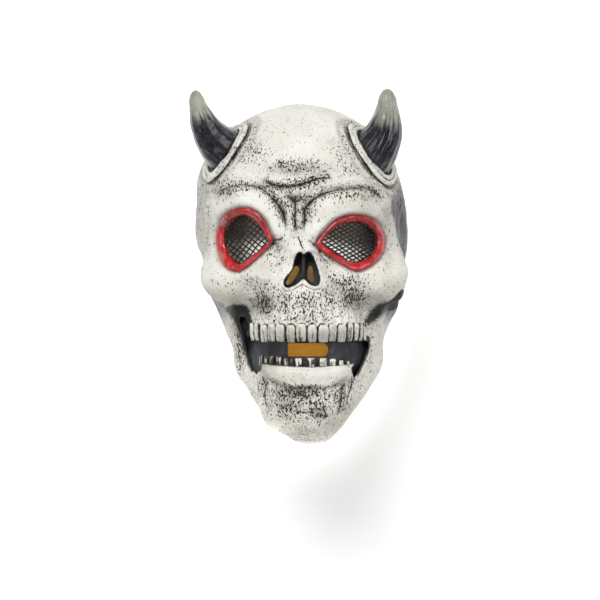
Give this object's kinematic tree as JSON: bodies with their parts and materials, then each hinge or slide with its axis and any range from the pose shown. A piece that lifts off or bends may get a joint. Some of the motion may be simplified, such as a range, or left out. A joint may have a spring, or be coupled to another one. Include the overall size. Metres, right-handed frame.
{
  "type": "demon skull mask",
  "caption": "Overhead latex mask shaped as a horned skull with open jaws, gauze-covered eye holes and an open neck, lying on its back face up.",
  "frame": {"origin": "centre of the bottom of the bounding box, on the plane of the flat spot at the back of the head; the mask lies on its back", "axes": "+Z out through the face, +Y from chin to crown, +X to the right of someone facing the mask with its crown up"},
  "size_m": [0.1938, 0.3112, 0.2293],
  "materials": {
    "bone_latex": "bone-white latex with a grey-black antiquing wash and speckle; glossy red eye rims, glossy black horns fading to grey-green tips, black mouth and nose recesses",
    "eye_gauze": "black open gauze, satin"
  },
  "bodies": {
    "root": {"mask_shell": "bone_latex", "eye_mesh_left": "eye_gauze", "eye_mesh_right": "eye_gauze"}
  },
  "joints": []
}
